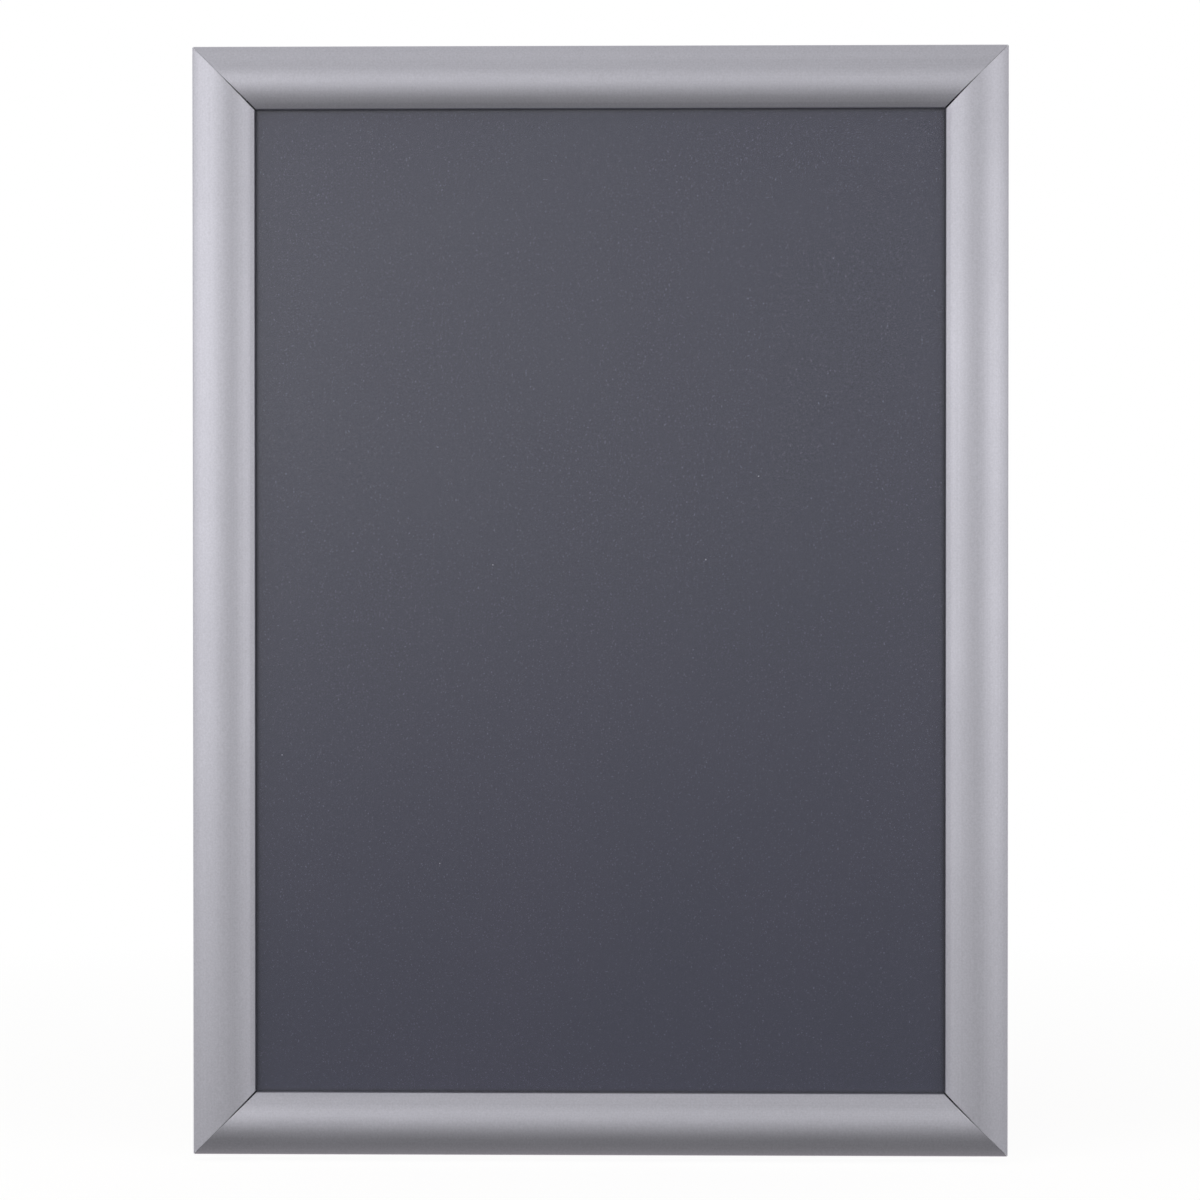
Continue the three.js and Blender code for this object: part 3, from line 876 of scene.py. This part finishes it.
for run, length, reach, turns in RAIL_RUNS:
    model = cover_section()
    pull_section(length, 0, reach)
    round_long_edges(model, LONG_EDGE_RADIUS)
    corner = Vector((length / 2 - COVER_MITRE_GAP, -UNDERCUT_START, -reach))
    saw_ends(model, corner, MITRE, OFFCUT)
    saw_ends(model, corner + ALONG_MITRE * OPENING_MITRE_START, OPENING_MITRE, OFFCUT)
    saw_ends(model, corner, UNDERCUT, UNDERCUT_SIZE)
    mill_claw_ends(model, length, reach)
    model.data.materials.append(RAIL_FINISHES[run])
    model.data.materials.append(SAWN_FINISH)
    dress_mitres(model, SAWN_EDGE_RADIUS, on_skin)
    smooth_faces(model)
    for side, turn in turns.items():
        rail = placed_copy(model, f"cover_extrusion_{side}", turn)
        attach(rail, f"{side}_rail")
        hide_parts(f"cover_rail_{side}")
    bpy.data.objects.remove(model)

# Leaf springs: bowed strips of hardened steel, two to a rail, with rounded corners.
# One edge of a strip rocks in the notch of the base rail's rib and the other in the notch of the claw,
# so that it snaps the cover rail shut or open over its middle position.
spring_low, spring_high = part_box("spring_bottom_1")
SPRING_THICKNESS = 0.5 * MM
SPRING_BOW = 0.4 * MM
SPRING_LENGTH = 40 * MM
SPRING_INSET = 90 * MM
SPRING_FIT = 0.15 * MM
SPRING_CORNER = 1.2 * MM
SPRING_EDGE_RADIUS = 0.08 * MM
SPRING_ARC_STEP = math.radians(2)
SPRING_SEAT = NOTCH_RADIUS + SPRING_THICKNESS / 2 + SPRING_FIT
TEMPER_COLOURS = ((0.33, 0.36, 0.42, 1), (0.5, 0.45, 0.38, 1))
ROLLED_SHARE = 0.3


def spring_steel(name):
    """Cold rolled strip, tempered to a faint straw and blue, with rolling lines along it."""
    material, tree = new_finish(name, {"Metallic": 1.0})
    grain = use_effect(tree, drawn_grain, {"Line Scale": (300.0, 3000.0, 300.0)})
    marks = use_effect(tree, handling, {"Patch Scale": 90.0})
    temper = mix_colours(tree, marks["Patches"], *TEMPER_COLOURS)
    link_finish(
        tree,
        {
            "Base Color": mix_colours(tree, ROLLED_SHARE, temper, grain["Lines"]),
            "Roughness": spread(tree, grain["Lines"], low=0.22, high=0.4),
            "Normal": surface_relief(tree, grain["Lines"], strength=0.15, depth=0.02 * MM),
        },
    )
    return material


def spring_section():
    """A bowed strip from the notch in the claw to the notch in the rib."""
    free = Vector(polar((HINGE_U, HINGE_V), SPRING_SEAT, SPRING_LINE - OPENING / 2))
    fixed = Vector((SPRING_U, SPRING_V))
    chord = fixed - free
    radius = (chord.length_squared / 4 + SPRING_BOW**2) / (2 * SPRING_BOW)
    half = math.asin(chord.length / (2 * radius))
    middle = math.atan2(chord.y, chord.x) + math.pi / 2
    centre = polar((free + fixed) / 2, SPRING_BOW - radius, middle)
    front = radius + SPRING_THICKNESS / 2
    back = radius - SPRING_THICKNESS / 2
    piece = start_section("spring_model", *polar(centre, back, middle + half))
    draw_arc(centre, -2 * half, SPRING_ARC_STEP)
    draw_line(piece, *polar(centre, front, middle - half))
    draw_arc(centre, 2 * half, SPRING_ARC_STEP)
    draw_line(piece, *polar(centre, back, middle + half))
    return piece


def round_spring_corners(piece, middle, reach):
    """Blanks the strip to round corners, seen from the front."""
    bpy.ops.object.mode_set(mode="OBJECT")
    rise = cad_low.z + reach
    low = Vector((middle - SPRING_LENGTH / 2, 2 * spring_low.y, spring_low.z - rise - SPRING_EDGE_RADIUS))
    high = Vector((middle + SPRING_LENGTH / 2, 0, spring_high.z - rise + SPRING_EDGE_RADIUS))
    blank = cut_sheet("spring_blank", low, high, SPRING_CORNER, SPRING_EDGE_RADIUS)
    trim(piece, blank, "INTERSECT")


SPRING_FINISH = spring_steel("tempered_spring_steel")
for run, length, reach, turns in RAIL_RUNS:
    for number, end in ((1, -1), (2, 1)):
        middle = end * (length / 2 - SPRING_INSET)
        model = spring_section()
        pull_section(SPRING_LENGTH + SPRING_CORNER, middle, reach)
        round_spring_corners(model, middle, reach)
        break_edges(model, SPRING_EDGE_RADIUS)
        model.data.materials.append(SPRING_FINISH)
        smooth_faces(model)
        for side, turn in turns.items():
            spring = placed_copy(model, f"leaf_spring_{side}_{number}", turn)
            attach(spring, f"{side}_springs")
            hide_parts(f"spring_{side}_{number}")
        bpy.data.objects.remove(model)

# Floor, studio light and camera: a pale floor just under the frame and a white backdrop all round,
# with soft boxes at the sides, in front and above, and the camera where the photograph was taken from.
FLOOR_GAP = 3 * MM
FLOOR_LEVEL = cad_low.z - FLOOR_GAP
FLOOR_SIZE = 12.0
FLOOR_COLOUR = (0.2, 0.195, 0.19, 1)
FLOOR_GLOW = 0.9
SHADOW_FULL = 0.35
SHADOW_END = 0.9


def share_between(tree, value, start, end):
    """How far a value has come from start to end, as 0 to 1."""
    return add_node(tree, "MapRange", {"Value": value, "From Min": start, "From Max": end}).outputs[0]


def seen_directly(tree, rays):
    """1 on rays from the camera, also through clear pieces, and 0 on all others."""
    return calculate(tree, "MAXIMUM", rays["Is Camera Ray"], rays["Is Transmission Ray"])


bpy.ops.object.select_all(action="DESELECT")
bpy.ops.mesh.primitive_plane_add(size=FLOOR_SIZE, location=(0, 0, FLOOR_LEVEL))
floor = bpy.context.object
floor.name = "floor"
bpy.ops.object.transform_apply(location=True, rotation=True, scale=True)

# Floor finish: white to the camera, with the frame's shadow on it near the frame
floor_finish = bpy.data.materials.new("floor_finish")
floor_finish.use_nodes = True
floor_tree = floor_finish.node_tree
floor_tree.nodes.clear()
floor_place = add_node(floor_tree, "TexCoord").outputs["Object"]
floor_far = add_node(floor_tree, "VectorMath", {0: floor_place}, operation="LENGTH")
floor_fade = share_between(floor_tree, floor_far.outputs["Value"], SHADOW_FULL, SHADOW_END)
floor_rays = add_node(floor_tree, "LightPath").outputs
floor_seen = seen_directly(floor_tree, floor_rays)
floor_matt = add_node(floor_tree, "BsdfDiffuse", {"Color": FLOOR_COLOUR})
floor_glow = add_node(floor_tree, "Emission", {"Strength": FLOOR_GLOW})
floor_shadowed = add_node(floor_tree, "AddShader", {0: floor_matt.outputs[0], 1: floor_glow.outputs[0]})
floor_plain = add_node(floor_tree, "Emission", {"Strength": 1.0})
floor_shown = add_node(
    floor_tree,
    "MixShader",
    {0: floor_fade, 1: floor_shadowed.outputs[0], 2: floor_plain.outputs[0]},
)
floor_mix = add_node(
    floor_tree,
    "MixShader",
    {0: floor_seen, 1: floor_matt.outputs[0], 2: floor_shown.outputs[0]},
)
add_node(floor_tree, "OutputMaterial", {"Surface": floor_mix.outputs[0]})
floor.data.materials.append(floor_finish)
floor.visible_glossy = False

# Room light, in stops from the floor (0) to the ceiling (1): a glow at eye level between two dark bands.
# It grows towards the left wall (0) and the right wall (1), by the share in the second row of stops.
# Behind the frame is a white screen, warm at its foot, which only reflections show.
ROOM_LIGHT = (
    (0, 0.3),
    (0.05, 0.2),
    (0.25, 0.06),
    (0.45, 0.28),
    (0.57, 0.26),
    (0.7, 0.07),
    (0.8, 0.04),
    (1, 0.55),
)
WALL_LIFT = ((0, 1), (0.2, 0.35), (0.35, 0.1), (0.65, 0), (0.8, 0.4), (1, 1))
SCREEN_START = -0.05
SCREEN_FULL = 0.6
WHITE = (1, 1, 1, 1)
LOW_SCREEN_COLOUR = (1, 0.86, 0.88, 1)
LOW_SCREEN_LEVEL = -0.9
WHITE_SCREEN_LEVEL = -0.6


def grey_ramp(tree, value, stops):
    """A value turned into grey levels. The stops run from place 0 to place 1."""
    ramp = add_node(tree, "ValToRGB", {0: value})
    elements = ramp.color_ramp.elements
    for place, _ in stops[1:-1]:
        elements.new(place)
    for element, (_, level) in zip(elements, stops):
        element.color = (level, level, level, 1)
    return ramp.outputs[0]


world = bpy.data.worlds.new("studio")
bpy.context.scene.world = world
world.use_nodes = True
world_tree = world.node_tree
world_tree.nodes.clear()
world_way = add_node(world_tree, "TexCoord").outputs["Generated"]
world_axes = add_node(world_tree, "SeparateXYZ", {0: world_way}).outputs
world_level = share_between(world_tree, world_axes["Z"], -1.0, 1.0)
world_height = grey_ramp(world_tree, world_level, ROOM_LIGHT)
world_sides = share_between(world_tree, world_axes["X"], -1.0, 1.0)
world_lift = grey_ramp(world_tree, world_sides, WALL_LIFT)
world_bright = calculate(world_tree, "MULTIPLY_ADD", world_lift, world_height, world_height)
world_back = share_between(world_tree, world_axes["Y"], SCREEN_START, SCREEN_FULL)
world_low = share_between(world_tree, world_axes["Z"], LOW_SCREEN_LEVEL, WHITE_SCREEN_LEVEL)
world_screen = mix_colours(world_tree, world_low, LOW_SCREEN_COLOUR, WHITE)
world_rays = add_node(world_tree, "LightPath").outputs
world_mirrored = calculate(world_tree, "MULTIPLY", world_back, world_rays["Is Glossy Ray"])
world_room = mix_colours(world_tree, world_mirrored, world_bright, world_screen)
world_seen = seen_directly(world_tree, world_rays)
world_colour = mix_colours(world_tree, world_seen, world_room, WHITE)
world_light = add_node(world_tree, "Background", {"Color": world_colour, "Strength": 1.0})
add_node(world_tree, "OutputWorld", {"Surface": world_light.outputs[0]})

# Soft boxes: the place, the size and the power of each. All of them face the middle of the frame.
SOFT_BOXES = {
    "left_soft_box": ((-1.0, -0.8, 0.2), (1.3, 0.65), 3.8),
    "right_soft_box": ((0.9, -0.9, 0.15), (1.2, 0.65), 3.3),
    "front_soft_box": ((-0.3, -1.5, 0.27), (1.0, 0.6), 2.0),
    "low_front_card": ((-0.1, -1.9, -0.65), (1.2, 0.5), 0.85),
    "top_soft_box": ((-0.1, -0.6, 0.85), (1.2, 0.6), 1.2),
}
for name, (place, size, power) in SOFT_BOXES.items():
    bpy.ops.object.light_add(type="AREA", location=place)
    box = bpy.context.object
    box.name = name
    box.data.shape = "RECTANGLE"
    box.data.size, box.data.size_y = size
    box.data.energy = power
    box.visible_camera = False
    box.rotation_euler = (-Vector(place)).to_track_quat("-Z", "Y").to_euler()

CAMERA_PLACE = (0.0256, -1.4, 0.0134)
CAMERA_YAW = math.radians(1.047)
CAMERA_PITCH = math.radians(-0.528)
CAMERA_LENS = 100.0
CAMERA_SENSOR = 36.0
bpy.ops.object.camera_add(location=CAMERA_PLACE, rotation=(math.pi / 2 + CAMERA_PITCH, 0, CAMERA_YAW))
camera = bpy.context.object
camera.data.lens = CAMERA_LENS
camera.data.sensor_width = CAMERA_SENSOR
bpy.context.scene.camera = camera
bpy.context.scene.view_settings.view_transform = "Standard"
